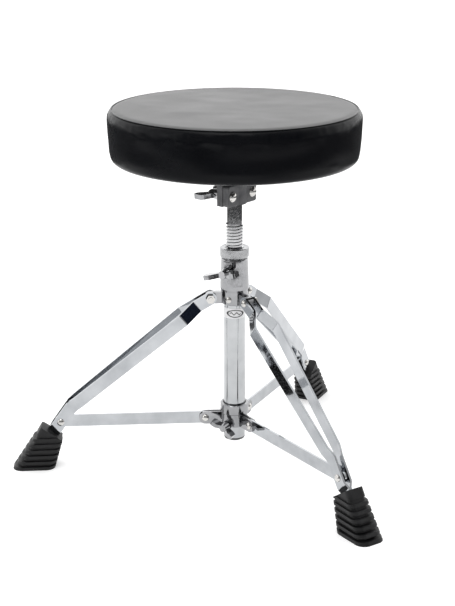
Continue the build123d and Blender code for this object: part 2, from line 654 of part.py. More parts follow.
def riveted(r, z, half):
    """A rivet across a leg, its round heads half away from the leg's middle plane."""
    front = dome(HEAD_RADIUS, HEAD_HEIGHT, shank=half)
    near = across(r, z, half)
    far = Plane(origin=(r, half, z), x_dir=(1, 0, 0), z_dir=(0, 1, 0))
    return placed(front, near, far)


hub_rivet = riveted(HUB_PIVOT_R, BRACE_Z, EAR_GAP + EAR_THICKNESS)
with BuildPart() as hub_rivets:
    for azimuth in LEGS.values():
        add(hub_rivet.rotate(Axis.Z, azimuth))
keep(hub_rivets.part, "hub_rivets")

# ---- one leg at azimuth 0, repeated at each leg's azimuth ----
BEND = (47.1, 210.9)
KNEE = (206.4, 81.5)
LEG_END = (243.8, 28.2)
LEG_SLOPE = 39.0
FOOT_SLOPE = 55.0
STRIP_STEPS = ((-9, 5.65), (19.3, 5.65), (42.2, 16.7), (214.9, 8.7), (228.2, 5.0), (259.0, 5.0),
               (265.5, 1.25), (296, 1.25))
leg_along = (cos(radians(LEG_SLOPE)), 0, -sin(radians(LEG_SLOPE)))
leg_up = (sin(radians(LEG_SLOPE)), 0, cos(radians(LEG_SLOPE)))
strip_plane = Plane(origin=(PIVOT_R, 0, PIVOT_Z), x_dir=leg_along, z_dir=leg_up)

with BuildPart() as bar:
    with BuildSketch(Plane.XZ):
        with BuildLine():
            FilletPolyline((PIVOT_R, PIVOT_Z), BEND, KNEE, LEG_END, radius=25)
        trace(line_width=BAR_WIDTH)
        with Locations((PIVOT_R, PIVOT_Z)):
            Circle(BAR_WIDTH / 2)
        with Locations((PIVOT_R, PIVOT_Z), (RIVET_R, BRACE_Z)):
            Circle(RIVET_RADIUS, mode=Mode.SUBTRACT)
    extrude(amount=-24)
    with BuildSketch(strip_plane):
        with BuildLine():
            FilletPolyline(*STRIP_STEPS, radius=3.0)
        trace(line_width=BAR_THICKNESS)
    extrude(amount=45, both=True, mode=Mode.INTERSECT)

LEG_NUT_FLATS = 10.0
LEG_NUT_HEIGHT = 4.4
THREAD_SHOWING = 0.9
BOLT_TOP_HALF = BAR_GAP_TOP + BAR_THICKNESS
BOLT_RIVET_HALF = BAR_GAP_RIVET + BAR_THICKNESS
bolt_head = dome(HEAD_RADIUS, HEAD_HEIGHT, shank=BAR_THICKNESS)
with BuildPart() as bolt_nut:
    with BuildSketch(Plane.XY):
        RegularPolygon(LEG_NUT_FLATS / 2, 6, major_radius=False)
    extrude(amount=LEG_NUT_HEIGHT)
    with BuildSketch(Plane.XY.offset(LEG_NUT_HEIGHT)):
        Circle(RIVET_RADIUS)
    extrude(amount=THREAD_SHOWING)
    with BuildSketch(Plane.XY):
        Circle(RIVET_RADIUS)
    extrude(amount=-BAR_THICKNESS)
head_plane = across(PIVOT_R, PIVOT_Z, BOLT_TOP_HALF)
nut_plane = Plane(origin=(PIVOT_R, BOLT_TOP_HALF, PIVOT_Z), x_dir=(1, 0, 0), z_dir=(0, 1, 0))
with BuildPart() as pivot_bolt:
    with Locations(head_plane.location):
        add(bolt_head)
    with Locations(nut_plane.location):
        add(bolt_nut.part)
leg_rivet = riveted(RIVET_R, BRACE_Z, BOLT_RIVET_HALF)
spacer_gap = BAR_GAP_RIVET - BRACE_THICKNESS / 2 - 0.2
spacer = washer(RIVET_RADIUS, 6.0, spacer_gap)
spacer_near = across(RIVET_R, BRACE_Z, BAR_GAP_RIVET - spacer_gap)
spacer_far = Plane(origin=(RIVET_R, BAR_GAP_RIVET - spacer_gap, BRACE_Z), x_dir=(1, 0, 0), z_dir=(0, 1, 0))
spacers = placed(spacer, spacer_near, spacer_far)

with BuildPart() as brace:
    with BuildSketch(across((HUB_PIVOT_R + RIVET_R) / 2, BRACE_Z)):
        SlotCenterToCenter(RIVET_R - HUB_PIVOT_R, BRACE_WIDTH)
        with GridLocations(RIVET_R - HUB_PIVOT_R, 0, 2, 1):
            Circle(RIVET_RADIUS + RUNNING, mode=Mode.SUBTRACT)
    extrude(amount=BRACE_THICKNESS / 2, both=True)

# ---- rubber foot ----
FOOT_TOP = (232.6, 46.6)
FOOT_TOP_LENGTH = 30.6
FOOT_TOP_WIDTH = 23.0
FOOT_SOLE_R = 254.0
FOOT_SOLE_LENGTH = 44.0
FOOT_SOLE_WIDTH = 29.0
FOOT_TOP_CORNER = 4.5
FOOT_SOLE_CORNER = 9.0
FOOT_RIBS = 5
RIB_PITCH = 7.5
RIB_THICKNESS = 3.3
LOW_RIB_Z = 7.9
SOLE_THICKNESS = 4.0
BLOCK_BOTTOM = 45.2
foot_across = (sin(radians(FOOT_SLOPE)), 0, cos(radians(FOOT_SLOPE)))
foot_up = (-cos(radians(FOOT_SLOPE)), 0, sin(radians(FOOT_SLOPE)))


def foot_hull(grow):
    """The foot's tapering block: out to the ribs' rims when grow is 1, to the grooves' floor when 0."""
    top = Plane(origin=(FOOT_TOP[0], 0, FOOT_TOP[1]), x_dir=foot_across, z_dir=foot_up)
    sole = Plane(origin=(FOOT_SOLE_R + 2.6 * grow, 0, 0), x_dir=(1, 0, 0), z_dir=(0, 0, 1))
    with BuildPart() as hull:
        with BuildSketch(top):
            RectangleRounded(FOOT_TOP_LENGTH + 2.4 * grow, FOOT_TOP_WIDTH + 3.0 * grow, FOOT_TOP_CORNER)
        with BuildSketch(sole):
            RectangleRounded(FOOT_SOLE_LENGTH + 9.4 * grow, FOOT_SOLE_WIDTH + 8.0 * grow,
                             FOOT_SOLE_CORNER + 3.0 * grow)
        loft(ruled=True)
    return hull.part


def layer(bottom, thickness):
    """A wide flat slab over one leg's foot."""
    with BuildPart() as slab:
        with BuildSketch(Plane.XY.offset(bottom)):
            with Locations((250, 0)):
                Rectangle(120, 80)
        extrude(amount=thickness)
    return slab.part


rib_rim = foot_hull(1)
with BuildPart() as foot:
    add(foot_hull(0))
    for step in range(FOOT_RIBS):
        add(rib_rim & layer(LOW_RIB_Z + step * RIB_PITCH, RIB_THICKNESS))
    add(rib_rim & layer(0, SOLE_THICKNESS))
    add(foot_hull(0.5) & layer(BLOCK_BOTTOM, 20))
    add(bar.part, mode=Mode.SUBTRACT)
    add(bar.part.mirror(Plane.XZ), mode=Mode.SUBTRACT)

for name, azimuth in LEGS.items():
    keep(swung(bar.part, azimuth), f"leg_{name}_bar_a")
    keep(swung(bar.part.mirror(Plane.XZ), azimuth), f"leg_{name}_bar_b")
    keep(swung(pivot_bolt.part, azimuth), f"leg_{name}_pivot_bolt")
    keep(swung(leg_rivet, azimuth), f"leg_{name}_rivet")
    keep(swung(spacers, azimuth), f"leg_{name}_spacers")
    keep(swung(brace.part, azimuth), f"leg_{name}_brace")
    keep(swung(foot.part, azimuth), f"leg_{name}_foot")
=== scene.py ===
import bmesh
import bpy
import math
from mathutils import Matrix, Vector, noise


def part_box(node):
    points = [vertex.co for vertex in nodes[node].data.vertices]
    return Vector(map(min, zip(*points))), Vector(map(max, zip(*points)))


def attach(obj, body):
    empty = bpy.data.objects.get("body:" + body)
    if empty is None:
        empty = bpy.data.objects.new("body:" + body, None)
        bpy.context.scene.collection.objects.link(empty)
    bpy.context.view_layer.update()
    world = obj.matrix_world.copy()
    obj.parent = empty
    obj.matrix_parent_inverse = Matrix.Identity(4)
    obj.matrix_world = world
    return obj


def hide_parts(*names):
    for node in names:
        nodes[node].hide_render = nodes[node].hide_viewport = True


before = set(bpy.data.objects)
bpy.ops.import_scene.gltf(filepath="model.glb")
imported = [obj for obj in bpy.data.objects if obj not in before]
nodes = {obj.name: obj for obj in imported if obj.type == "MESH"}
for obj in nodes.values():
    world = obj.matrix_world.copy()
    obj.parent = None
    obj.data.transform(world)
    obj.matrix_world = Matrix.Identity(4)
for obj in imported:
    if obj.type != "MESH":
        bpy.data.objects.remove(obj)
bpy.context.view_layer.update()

# A folding drum throne: black vinyl seat, chromed rod, tube and twin-bar legs, ribbed rubber feet.
# Metres, in the CAD frame. The part's own places come from the CAD nodes' boxes. The studio and the
# camera are placed around them.

LEG_NAMES = ("left", "front", "rear")


def middle(node):
    low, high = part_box(node)
    return (Vector(low) + Vector(high)) / 2


AXIS = middle("base_tube")
SEAT_LOW, SEAT_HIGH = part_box("seat_side_band")
SEAT_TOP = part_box("seat_top_panel")[1][2]
SEAT_BOTTOM = SEAT_LOW[2]
SEAT_RADIUS = (SEAT_HIGH[0] - SEAT_LOW[0]) / 2


# ---- materials ----
def new_material(name):
    mat = bpy.data.materials.new(name)
    mat.use_nodes = True
    shader = mat.node_tree.nodes["Principled BSDF"]
    return mat, mat.node_tree, shader


def object_coordinates(tree, stretch=(1, 1, 1), turn=(0, 0, 0)):
    place = tree.nodes.new("ShaderNodeTexCoord")
    mapping = tree.nodes.new("ShaderNodeMapping")
    mapping.inputs["Scale"].default_value = stretch
    mapping.inputs["Rotation"].default_value = turn
    tree.links.new(place.outputs["Object"], mapping.inputs["Vector"])
    return mapping.outputs["Vector"]


def noise_map(tree, where, scale, detail=3.0, roughness=0.5):
    made = tree.nodes.new("ShaderNodeTexNoise")
    made.inputs["Scale"].default_value = scale
    made.inputs["Detail"].default_value = detail
    made.inputs["Roughness"].default_value = roughness
    tree.links.new(where, made.inputs["Vector"])
    return made.outputs["Fac"]


def remap(tree, value, low, high, from_low=0.3, from_high=0.7):
    made = tree.nodes.new("ShaderNodeMapRange")
    made.inputs["From Min"].default_value = from_low
    made.inputs["From Max"].default_value = from_high
    made.inputs["To Min"].default_value = low
    made.inputs["To Max"].default_value = high
    tree.links.new(value, made.inputs["Value"])
    return made.outputs["Result"]


def tint(tree, value, dark, light):
    made = tree.nodes.new("ShaderNodeMix")
    made.data_type = "RGBA"
    made.inputs["A"].default_value = (*dark, 1)
    made.inputs["B"].default_value = (*light, 1)
    tree.links.new(value, made.inputs["Factor"])
    return made.outputs["Result"]


def bump(tree, shader, height, distance, strength=1.0):
    made = tree.nodes.new("ShaderNodeBump")
    made.inputs["Strength"].default_value = strength
    made.inputs["Distance"].default_value = distance
    tree.links.new(height, made.inputs["Height"])
    before = shader.inputs["Normal"].links
    if before:
        tree.links.new(before[0].from_socket, made.inputs["Normal"])
    tree.links.new(made.outputs["Normal"], shader.inputs["Normal"])


def metal(name, dark, light, rough_low, rough_high, ripple=0.0, ripple_scale=60, stretch=(1, 1, 1)):
    """Bright metal with faint smears, fine scratches and, on castings, a slight ripple."""
    mat, tree, shader = new_material(name)
    shader.inputs["Metallic"].default_value = 1.0
    where = object_coordinates(tree)
    smears = noise_map(tree, where, 38, 4)
    tree.links.new(tint(tree, remap(tree, smears, 0, 1), dark, light), shader.inputs["Base Color"])
    fine = noise_map(tree, object_coordinates(tree, stretch), 420, 2)
    tree.links.new(remap(tree, fine, rough_low, rough_high), shader.inputs["Roughness"])
    bump(tree, shader, fine, 0.000004, 0.3)
    if ripple:
        bump(tree, shader, noise_map(tree, where, ripple_scale, 1), ripple)
    return mat


def cast_paint(name):
    """Dark grey powder-coated casting with a fine pebbled skin and lighter worn spots."""
    mat, tree, shader = new_material(name)
    where = object_coordinates(tree)
    patches = noise_map(tree, where, 90, 5)
    colour = tint(tree, remap(tree, patches, 0, 1), (0.07, 0.071, 0.075), (0.125, 0.125, 0.13))
    tree.links.new(colour, shader.inputs["Base Color"])
    shader.inputs["Metallic"].default_value = 0.35
    tree.links.new(remap(tree, patches, 0.42, 0.56), shader.inputs["Roughness"])
    bump(tree, shader, noise_map(tree, where, 1500, 2), 0.00008, 0.6)
    return mat


def rubber(name):
    """Black moulded rubber, slightly dusty, with a fine matte grain."""
    mat, tree, shader = new_material(name)
    where = object_coordinates(tree)
    dust = noise_map(tree, where, 70, 5)
    colour = tint(tree, remap(tree, dust, 0, 1, 0.42, 0.72), (0.004, 0.004, 0.0045), (0.011, 0.011, 0.012))
    tree.links.new(colour, shader.inputs["Base Color"])
    shader.inputs["Specular IOR Level"].default_value = 0.35
    tree.links.new(remap(tree, dust, 0.42, 0.6), shader.inputs["Roughness"])
    bump(tree, shader, noise_map(tree, where, 1300, 3), 0.00012, 0.5)
    bump(tree, shader, noise_map(tree, where, 120, 2), 0.0003, 0.5)
    return mat


def vinyl(name, dark, light, rough, sheen):
    """Black upholstery vinyl: pebbled grain, soft mottled sheen."""
    mat, tree, shader = new_material(name)
    where = object_coordinates(tree)
    cells = tree.nodes.new("ShaderNodeTexVoronoi")
    cells.feature = "DISTANCE_TO_EDGE"
    cells.inputs["Scale"].default_value = 900
    tree.links.new(where, cells.inputs["Vector"])
    pores = noise_map(tree, where, 2600, 2)
    mottle = noise_map(tree, where, 14, 3)
    tree.links.new(tint(tree, remap(tree, mottle, 0, 1), dark, light), shader.inputs["Base Color"])
    tree.links.new(remap(tree, mottle, rough - 0.04, rough + 0.04), shader.inputs["Roughness"])
    shader.inputs["Specular IOR Level"].default_value = sheen
    bump(tree, shader, remap(tree, cells.outputs["Distance"], 0, 1, 0, 0.12), 0.00006, 0.35)
    bump(tree, shader, pores, 0.00003, 0.3)
    bump(tree, shader, noise_map(tree, where, 45, 3), 0.0006, 0.25)
    return mat


def plastic(name, dark, light, rough):
    """Moulded plastic with a faint flow pattern."""
    mat, tree, shader = new_material(name)
    where = object_coordinates(tree)
    flow = noise_map(tree, where, 160, 4)
    tree.links.new(tint(tree, remap(tree, flow, 0, 1), dark, light), shader.inputs["Base Color"])
    tree.links.new(remap(tree, flow, rough - 0.05, rough + 0.05), shader.inputs["Roughness"])
    bump(tree, shader, noise_map(tree, where, 1400, 2), 0.00004, 0.4)
    return mat


def weave(name, dark, light):
    """Non-woven cloth under the seat: fine crossed threads."""
    mat, tree, shader = new_material(name)
    across = noise_map(tree, object_coordinates(tree, (1, 12, 1)), 500, 2)
    along = noise_map(tree, object_coordinates(tree, (12, 1, 1)), 500, 2)
    both = tree.nodes.new("ShaderNodeMath")
    both.operation = "MULTIPLY"
    tree.links.new(across, both.inputs[0])
    tree.links.new(along, both.inputs[1])
    threads = remap(tree, both.outputs[0], 0, 1, 0.1, 0.4)
    tree.links.new(tint(tree, threads, dark, light), shader.inputs["Base Color"])
    shader.inputs["Roughness"].default_value = 0.95
    bump(tree, shader, threads, 0.0002, 0.6)
    return mat


def wood(name):
    """Plywood with grain along X."""
    mat, tree, shader = new_material(name)
    grain = noise_map(tree, object_coordinates(tree, (1, 14, 6)), 30, 5)
    colour = tint(tree, remap(tree, grain, 0, 1), (0.33, 0.2, 0.1), (0.58, 0.42, 0.25))
    tree.links.new(colour, shader.inputs["Base Color"])
    shader.inputs["Roughness"].default_value = 0.7
    bump(tree, shader, grain, 0.0003, 0.5)
    return mat


def math_node(tree, operation, first, second=None):
    """One arithmetic step on sockets or plain numbers."""
    made = tree.nodes.new("ShaderNodeMath")
    made.operation = operation
    for socket, value in zip(made.inputs, (first, second)):
        if value is None:
            continue
        if isinstance(value, (int, float)):
            socket.default_value = value
        else:
            tree.links.new(value, socket)
    return made.outputs[0]


def printed_label(name, centre, half_width, half_height):
    """White band with a plain oval outline and a wavy stroke inside it."""
    mat, tree, shader = new_material(name)
    where = object_coordinates(tree)
    split = tree.nodes.new("ShaderNodeSeparateXYZ")
    tree.links.new(where, split.inputs[0])
    side = math_node(tree, "DIVIDE", math_node(tree, "SUBTRACT", split.outputs["X"], centre.x), half_width)
    rise = math_node(tree, "DIVIDE", math_node(tree, "SUBTRACT", split.outputs["Z"], centre.z), half_height)
    side_squared = math_node(tree, "POWER", side, 2.0)
    rise_squared = math_node(tree, "POWER", rise, 2.0)
    round_off = math_node(tree, "ADD", side_squared, rise_squared)
    outline = math_node(tree, "COMPARE", round_off, 1.0)
    outline.node.inputs[2].default_value = 0.24
    wave = math_node(tree, "MULTIPLY", math_node(tree, "SINE", math_node(tree, "MULTIPLY", side, 9.0)), 0.3)
    stroke = math_node(tree, "COMPARE", rise, wave)
    stroke.node.inputs[2].default_value = 0.16
    inside = math_node(tree, "LESS_THAN", round_off, 0.55)
    ink = math_node(tree, "MAXIMUM", outline, math_node(tree, "MULTIPLY", stroke, inside))
    front = math_node(tree, "LESS_THAN", split.outputs["Y"], centre.y)
    ink = math_node(tree, "MULTIPLY", ink, front)
    tree.links.new(tint(tree, ink, (0.78, 0.78, 0.79), (0.03, 0.03, 0.035)), shader.inputs["Base Color"])
    tree.links.new(remap(tree, noise_map(tree, where, 300), 0.2, 0.3), shader.inputs["Roughness"])
    bump(tree, shader, noise_map(tree, where, 900, 2), 0.00003, 0.3)
    return mat


CHROME = metal("chrome_tube", (0.38, 0.39, 0.4), (0.47, 0.48, 0.49), 0.03, 0.07)
LEG_CHROME = metal("chrome_bar", (0.36, 0.373, 0.39), (0.47, 0.483, 0.5), 0.03, 0.07, 0.00025, 18)
CAST_CHROME = metal("chrome_casting", (0.25, 0.254, 0.262), (0.37, 0.37, 0.38), 0.05, 0.13, 0.0004, 45)
SATIN = metal("polished_rivet", (0.5, 0.49, 0.475), (0.64, 0.63, 0.61), 0.05, 0.12, 0.0002, 80)
NUT_METAL = metal("satin_chrome_nut", (0.36, 0.365, 0.375), (0.47, 0.475, 0.485), 0.2, 0.32, 0.0003, 90)
THREAD_METAL = metal("thread_steel", (0.4, 0.405, 0.41), (0.56, 0.56, 0.57), 0.05, 0.12)
ZINC = metal("zinc", (0.5, 0.5, 0.5), (0.66, 0.66, 0.64), 0.28, 0.42)
CAST_PAINT = cast_paint("cast_grey")
RUBBER = rubber("foot_rubber")
# Lit and shaded copies of one black vinyl: the top copy's colour is painted lighter for the light falling on
# it (painted light), the side copy's colour darker for painted shade.
VINYL_PAINTED_LIGHT_TOP = vinyl("black_vinyl_top_painted_light", (0.016, 0.016, 0.017), (0.034, 0.034, 0.035), 0.4, 0.66)
VINYL_PAINTED_SHADE_SIDE = vinyl("black_vinyl_side_painted_shade", (0.0012, 0.0015, 0.0024), (0.0024, 0.0028, 0.004), 0.25, 0.1)
NYLON = plastic("black_nylon", (0.012, 0.012, 0.013), (0.03, 0.03, 0.031), 0.45)
LABEL = printed_label("label_band", middle("tube_label"), 0.0095, 0.0045)
DUST_CLOTH = weave("dust_cloth", (0.004, 0.004, 0.004), (0.03, 0.03, 0.03))
PLYWOOD = wood("plywood")


def dress(mat, *names):
    for name in names:
        mesh = nodes[name].data
        mesh.materials.clear()
        mesh.materials.append(mat)


dress(CHROME, "base_tube")
dress(THREAD_METAL, "threaded_rod")
dress(NUT_METAL, "collar_nut")
dress(CAST_CHROME, "top_sleeve", "sleeve_wing_bolt", "hub_wing_bolt", "clamp_wing_nut", "hub_bracket")
dress(SATIN, "clamp_bolts", "sleeve_rivet", "hub_rivets")
dress(ZINC, "cover_staples", "board_t_nuts", "bracket_washers", "bracket_screws", "clamp_hex_washer",
      "clamp_hex_nut", "clamp_wing_washer")
dress(CAST_PAINT, "seat_bracket", "clamp_cap")
dress(NYLON, "rod_guide_bush", "sleeve_pad", "hub_liner", "hub_pad", "tube_end_plug")
dress(LABEL, "tube_label")
dress(DUST_CLOTH, "dust_cover")
dress(PLYWOOD, "seat_board")
for leg in LEG_NAMES:
    dress(LEG_CHROME, f"leg_{leg}_bar_a", f"leg_{leg}_bar_b", f"leg_{leg}_brace")
    dress(SATIN, f"leg_{leg}_pivot_bolt", f"leg_{leg}_rivet")
    dress(NYLON, f"leg_{leg}_spacers")
    dress(RUBBER, f"leg_{leg}_foot")


def soften(width, *names):
    """Break the sharp edges of stamped and moulded pieces so that they catch the light."""
    for name in names:
        edge = nodes[name].modifiers.new("Bevel", "BEVEL")
        edge.width = width
        edge.segments = 2
        edge.limit_method = "ANGLE"
        edge.angle_limit = math.radians(38)


for leg in LEG_NAMES:
    soften(0.00045, f"leg_{leg}_bar_a", f"leg_{leg}_bar_b", f"leg_{leg}_brace")
    soften(0.0006, f"leg_{leg}_foot")
soften(0.0005, "top_sleeve", "hub_bracket", "sleeve_wing_bolt", "hub_wing_bolt", "clamp_wing_nut",
       "seat_bracket", "clamp_cap")


# ---- seat: a stuffed vinyl pad, puffed a little by a cloth simulation between its held lines ----
TOP_RINGS = 34
SIDE_RINGS = 11
HEM_RINGS = 9
SHOULDER_STEPS = 4
CORNER_STEPS = 5
PUFF_LIMIT = 0.0014
SIM_FRAMES = 20
SEAM_RADIUS = SEAT_RADIUS - 0.0056
SEAM_Z = SEAT_TOP - 0.0006
SHOULDER_Z = SEAT_TOP - 0.0125
FOOT_RADIUS = SEAT_RADIUS - 0.0024
CORNER = 0.0085
HEM_RADIUS = 0.118
TURNS = 264
SIDE_SHARE = 0.4
SEAM_GRIP = 0.0002
HELD_BELOW = SEAT_BOTTOM + CORNER + 0.0005
TOP_ABOVE = SHOULDER_Z + 0.011


def pad_profile():
    """Half section from the top's middle, over the seam, down the side and in under the seat."""
    points = []
    for i in range(TOP_RINGS):
        points.append((SEAM_RADIUS * ((i + 1) / TOP_RINGS), SEAM_Z))
    for i in range(1, SHOULDER_STEPS + 1):
        angle = math.radians(90 * i / SHOULDER_STEPS)
        points.append((SEAM_RADIUS + (SEAT_RADIUS - SEAM_RADIUS) * math.sin(angle),
                       SHOULDER_Z + (SEAM_Z - SHOULDER_Z) * math.cos(angle)))
    low = SEAT_BOTTOM + CORNER
    for i in range(1, SIDE_RINGS + 1):
        t = i / SIDE_RINGS
        points.append((SEAT_RADIUS + (FOOT_RADIUS - SEAT_RADIUS) * t, SHOULDER_Z + (low - SHOULDER_Z) * t))
    for i in range(1, CORNER_STEPS + 1):
        angle = math.radians(90 * i / CORNER_STEPS)
        points.append((FOOT_RADIUS - CORNER * (1 - math.cos(angle)), low - CORNER * math.sin(angle)))
    inner = FOOT_RADIUS - CORNER
    for i in range(1, HEM_RINGS + 1):
        points.append((inner + (HEM_RADIUS - inner) * i / HEM_RINGS, SEAT_BOTTOM))
    return points


def spin_mesh(name, points, close_middle=True):
    bm = bmesh.new()
    rows = []
    for radius, z in points:
        row = []
        for i in range(TURNS):
            angle = 2 * math.pi * i / TURNS
            place = (AXIS.x + radius * math.cos(angle), AXIS.y + radius * math.sin(angle), z)
            row.append(bm.verts.new(place))
        rows.append(row)
    for upper, lower in zip(rows, rows[1:]):
        for i in range(TURNS):
            j = (i + 1) % TURNS
            bm.faces.new((upper[i], lower[i], lower[j], upper[j]))
    if close_middle:
        top = bm.verts.new((AXIS.x, AXIS.y, points[0][1]))
        bottom = bm.verts.new((AXIS.x, AXIS.y, points[-1][1]))
        for i in range(TURNS):
            j = (i + 1) % TURNS
            bm.faces.new((top, rows[0][i], rows[0][j]))
            bm.faces.new((rows[-1][j], rows[-1][i], bottom))
    bmesh.ops.recalc_face_normals(bm, faces=bm.faces)
    mesh = bpy.data.meshes.new(name)
    bm.to_mesh(mesh)
    bm.free()
    made = bpy.data.objects.new(name, mesh)
    bpy.context.scene.collection.objects.link(made)
    return made


def smooth(obj):
    for face in obj.data.polygons:
        face.use_smooth = True


def blow_up(pad, limit):
    """Cloth simulation under pressure. The sewn line and all from the lower corner down are held, moves
    inward are dropped, and the rest is capped, so the pad stays close to its starting shape."""
    rest = [v.co.copy() for v in pad.data.vertices]
    held = pad.vertex_groups.new(name="held")
    for v in pad.data.vertices:
        radius = math.hypot(v.co.x - AXIS.x, v.co.y - AXIS.y)
        on_seam = abs(radius - SEAM_RADIUS) < SEAM_GRIP and abs(v.co.z - SEAM_Z) < SEAM_GRIP
        if on_seam or v.co.z < HELD_BELOW:
            held.add([v.index], 1.0, "REPLACE")
    bpy.context.view_layer.objects.active = pad
    cloth = pad.modifiers.new("Cloth", "CLOTH")
    settings = cloth.settings
    settings.quality = 6
    settings.mass = 0.25
    settings.tension_stiffness = 22
    settings.compression_stiffness = 22
    settings.shear_stiffness = 10
    settings.bending_stiffness = 1.2
    settings.use_pressure = True
    settings.uniform_pressure_force = 4
    settings.shrink_min = -0.012
    settings.vertex_group_mass = "held"
    settings.pin_stiffness = 1.0
    settings.effector_weights.gravity = 0
    cloth.collision_settings.use_collision = False
    scene = bpy.context.scene
    for step in range(1, SIM_FRAMES + 1):
        scene.frame_set(step)
    settled = pad.evaluated_get(bpy.context.evaluated_depsgraph_get()).data.vertices
    moves = [settled[i].co - rest[i] for i in range(len(rest))]
    normals = [v.normal.copy() for v in pad.data.vertices]
    pad.modifiers.remove(cloth)
    scene.frame_set(1)
    for v, start, move, normal in zip(pad.data.vertices, rest, moves, normals):
        inward = min(0, move.dot(normal))
        move = move - normal * inward
        reach = limit if start.z > TOP_ABOVE else SIDE_SHARE * limit
        if move.length > reach:
            move = move * (reach / move.length)
        v.co = start + move


def wrinkle(pad):
    """Sewing puckers under the seam, loose drag lines on one side, and a faint unevenness on top."""
    for v in pad.data.vertices:
        dx, dy = v.co.x - AXIS.x, v.co.y - AXIS.y
        radius = math.hypot(dx, dy)
        out = Vector((dx, dy, 0)) / max(radius, 1e-6)
        angle = math.atan2(dy, dx)
        below = SEAM_Z - v.co.z
        if radius > SEAM_RADIUS - 0.0003 and 0 < below < 0.05:
            fade = math.exp(-((below - 0.009) / 0.008) ** 2)
            pucker = noise.noise(Vector((angle * 26, below * 60, 3)))
            loose = 0.2 + 0.8 * max(0, math.cos(angle - math.radians(238))) ** 2
            drag = noise.noise(Vector((angle * 9 + below * 260, below * 90 - angle * 3, 9)))
            v.co += out * (0.0006 * pucker * fade + 0.0015 * drag * fade * loose)
            v.co += out * 0.001 * noise.noise(Vector((angle * 2.5, below * 45, 5)))
        elif radius < SEAM_RADIUS - 0.002 and below < 0.02:
            edge = min(1, (SEAM_RADIUS - radius) / 0.03)
            v.co.z += 0.0008 * edge * noise.noise(Vector((dx * 14, dy * 14, 1)))
            v.co.z += 0.00035 * edge * noise.noise(Vector((dx * 40, dy * 40, 2)))
        elif v.co.z < SEAT_BOTTOM + 0.0004 and radius > HEM_RADIUS + 0.003:
            pleat = abs(math.sin(angle * 22 + 2 * noise.noise(Vector((angle * 4, 0, 0)))))
            from_hem = min(1, (radius - HEM_RADIUS) / 0.012)
            from_corner = min(1, (FOOT_RADIUS - CORNER - radius) / 0.006 + 0.2)
            v.co.z -= 0.0007 * pleat ** 3 * max(0, from_hem * from_corner)


def seam_groove(pad):
    """The sewn line sinks a little into the stuffing."""
    for v in pad.data.vertices:
        radius = math.hypot(v.co.x - AXIS.x, v.co.y - AXIS.y)
        away = math.hypot(radius - SEAM_RADIUS, v.co.z - SEAM_Z)
        if v.co.z > SHOULDER_Z and away < 0.003:
            v.co.z -= 0.0007 * (1 - away / 0.003)


def make_seat():
    pad = spin_mesh("seat_pad", pad_profile())
    blow_up(pad, PUFF_LIMIT)
    wrinkle(pad)
    seam_groove(pad)
    # The side band takes the vinyl copy with painted shade, the top panel the copy with painted light.
    pad.data.materials.append(VINYL_PAINTED_SHADE_SIDE)
    pad.data.materials.append(VINYL_PAINTED_LIGHT_TOP)
    for face in pad.data.polygons:
        radius = math.hypot(face.center.x - AXIS.x, face.center.y - AXIS.y)
        if face.center.z > SHOULDER_Z and radius < SEAM_RADIUS:
            face.material_index = 1
    detail = pad.modifiers.new("Subdivision", "SUBSURF")
    detail.levels = 1
    detail.render_levels = 1
    smooth(pad)
    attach(pad, "seat")
    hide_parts("seat_top_panel", "seat_side_band", "seat_foam")
    return pad


def make_welt():
    """The rolled seam allowance: a thin cord of vinyl that follows the sewn line."""
    points = []
    width, height, sides = 0.0009, 0.0007, 12
    for i in range(sides):
        angle = 2 * math.pi * i / sides
        points.append((SEAM_RADIUS + width + width * math.cos(angle),
                       SEAM_Z - 0.0004 + height * math.sin(angle)))
    points.append(points[0])
    welt = spin_mesh("seat_welt", points, close_middle=False)
    bm = bmesh.new()
    bm.from_mesh(welt.data)
    bmesh.ops.remove_doubles(bm, verts=bm.verts, dist=1e-6)
    bmesh.ops.recalc_face_normals(bm, faces=bm.faces)
    bm.to_mesh(welt.data)
    bm.free()
    # The welt takes the vinyl copy with painted shade.
    welt.data.materials.append(VINYL_PAINTED_SHADE_SIDE)
    smooth(welt)
    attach(welt, "seat")
    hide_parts("seat_piping")
    return welt


make_seat()
make_welt()


# ---- studio ----
AIM = Vector((AXIS.x, AXIS.y, 0.25))


def direction(azimuth, elevation):
    """Unit vector, in degrees. Azimuth is counted from +X towards +Y, elevation from the floor up."""
    flat = math.cos(math.radians(elevation))
    return Vector((flat * math.cos(math.radians(azimuth)), flat * math.sin(math.radians(azimuth)),
                   math.sin(math.radians(elevation))))


def show_in_reflections_only(obj):
    obj.visible_camera = False
    obj.visible_diffuse = False
    obj.visible_shadow = False


def studio_floor():
    mesh = bpy.data.meshes.new("floor")
    reach = 30
    corners = [(-reach, -reach, 0), (reach, -reach, 0), (reach, reach, 0), (-reach, reach, 0)]
    mesh.from_pydata(corners, [], [(0, 1, 2, 3)])
    floor = bpy.data.objects.new("studio_floor", mesh)
    bpy.context.scene.collection.objects.link(floor)
    mat, tree, shader = new_material("floor_paper")
    where = object_coordinates(tree)
    tree.links.new(tint(tree, noise_map(tree, where, 3), (0.9, 0.9, 0.9), (0.93, 0.93, 0.93)),
                   shader.inputs["Base Color"])
    shader.inputs["Roughness"].default_value = 0.9
    shader.inputs["Specular IOR Level"].default_value = 0.1
    shader.inputs["Emission Color"].default_value = (1, 1, 1, 1)
    shader.inputs["Emission Strength"].default_value = 0.3
    mesh.materials.append(mat)


